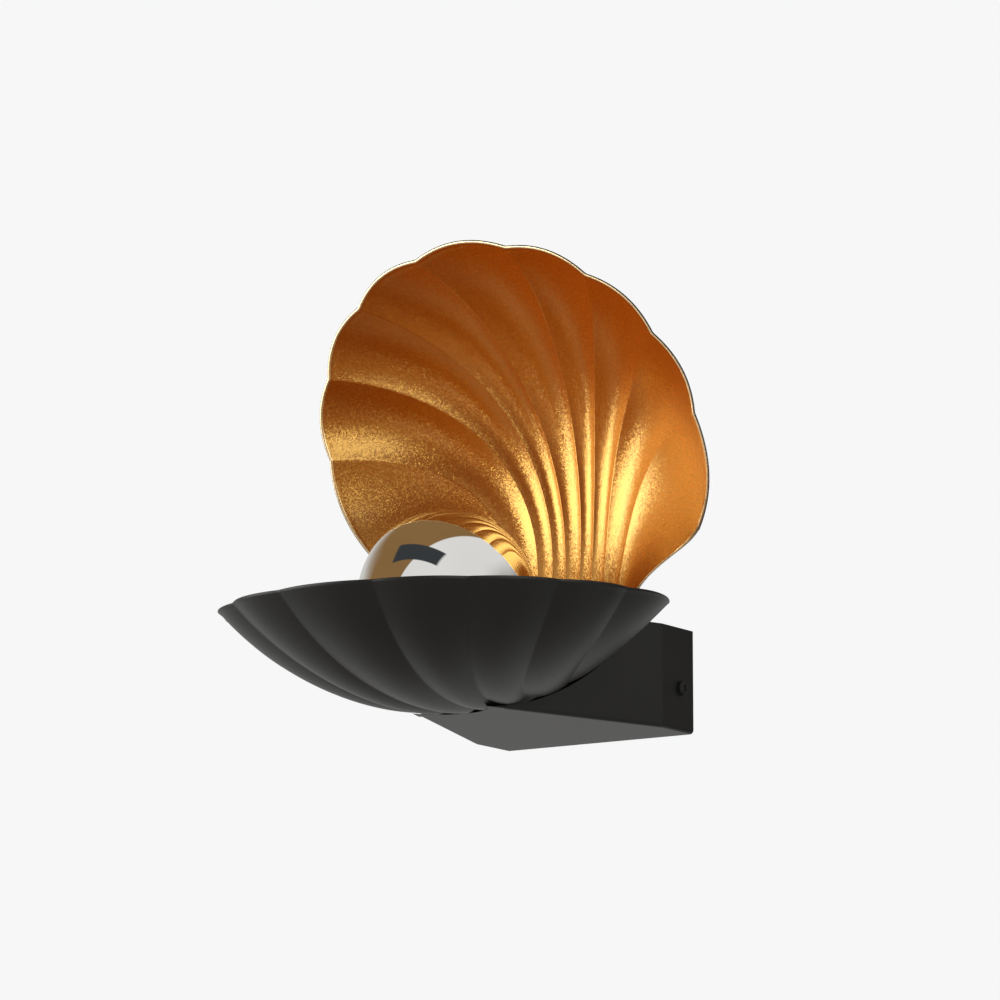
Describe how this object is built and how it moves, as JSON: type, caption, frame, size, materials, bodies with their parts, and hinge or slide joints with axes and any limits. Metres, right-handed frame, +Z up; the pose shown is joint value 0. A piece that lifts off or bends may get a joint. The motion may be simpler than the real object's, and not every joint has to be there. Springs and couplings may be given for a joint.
{
  "type": "shell wall sconce",
  "caption": "Wall light of two scallop shells opened like a clam over a silvered globe lamp, carried by a tapering wall box.",
  "frame": {"origin": "centre of the wall bracket's slot pattern, on the wall plane", "axes": "+X right for someone facing the wall, +Y into the wall, +Z up"},
  "size_m": [0.2032, 0.228, 0.2175],
  "materials": {
    "shell_finish": "metallic gold lacquer inside, satin black outside",
    "black_paint": "satin black powder coat",
    "black_screws": "blackened steel",
    "zinc_steel": "bright zinc",
    "brass_fittings": "plain",
    "porcelain": "glazed white porcelain",
    "black_rubber": "matte",
    "silvered_glass": "mirror silvering on the front, clear neck",
    "cap_metal": "plain nickelled",
    "black_insulator": "black vitrite",
    "clear_glass": "clear",
    "filament_glow": "amber phosphor coating",
    "white_plastic": "white polyamide",
    "brown_lead": "brown insulation",
    "blue_lead": "blue insulation"
  },
  "bodies": {
    "fixture": {"cable_grommet": "black_rubber", "earth_screw": "brass_fittings", "frame_nuts": "zinc_steel", "frame_screws": "zinc_steel", "lamp_bracket": "zinc_steel", "lampholder_body": "porcelain", "lampholder_contact": "brass_fittings", "lampholder_nipple": "zinc_steel", "lampholder_sleeve": "brass_fittings", "live_lead": "brown_lead", "lower_shell": "shell_finish", "lower_shell_end_plate": "black_paint", "neutral_lead": "blue_lead", "nipple_nut": "zinc_steel", "nipple_washer": "zinc_steel", "side_screws": "black_screws", "stay_nuts": "zinc_steel", "stay_screws": "black_screws", "stud_nuts": "zinc_steel", "terminal_block": "white_plastic", "terminal_screws": "brass_fittings", "upper_shell": "shell_finish", "upper_shell_stay": "black_paint", "upper_shell_studs": "zinc_steel", "wall_box": "black_paint", "wall_bracket": "zinc_steel"},
    "bulb": {"bulb_glass": "silvered_glass", "bulb_cap": "cap_metal", "bulb_insulator": "black_insulator", "bulb_tip": "cap_metal", "bulb_stem": "clear_glass", "bulb_filament_frame": "zinc_steel", "bulb_filaments": "filament_glow"}
  },
  "joints": [
    {"name": "bulb_unscrew", "type": "slide", "parent": "fixture", "child": "bulb", "axis": [0, -0.998, -0.0628], "range_m": [0, 0.024]}
  ]
}
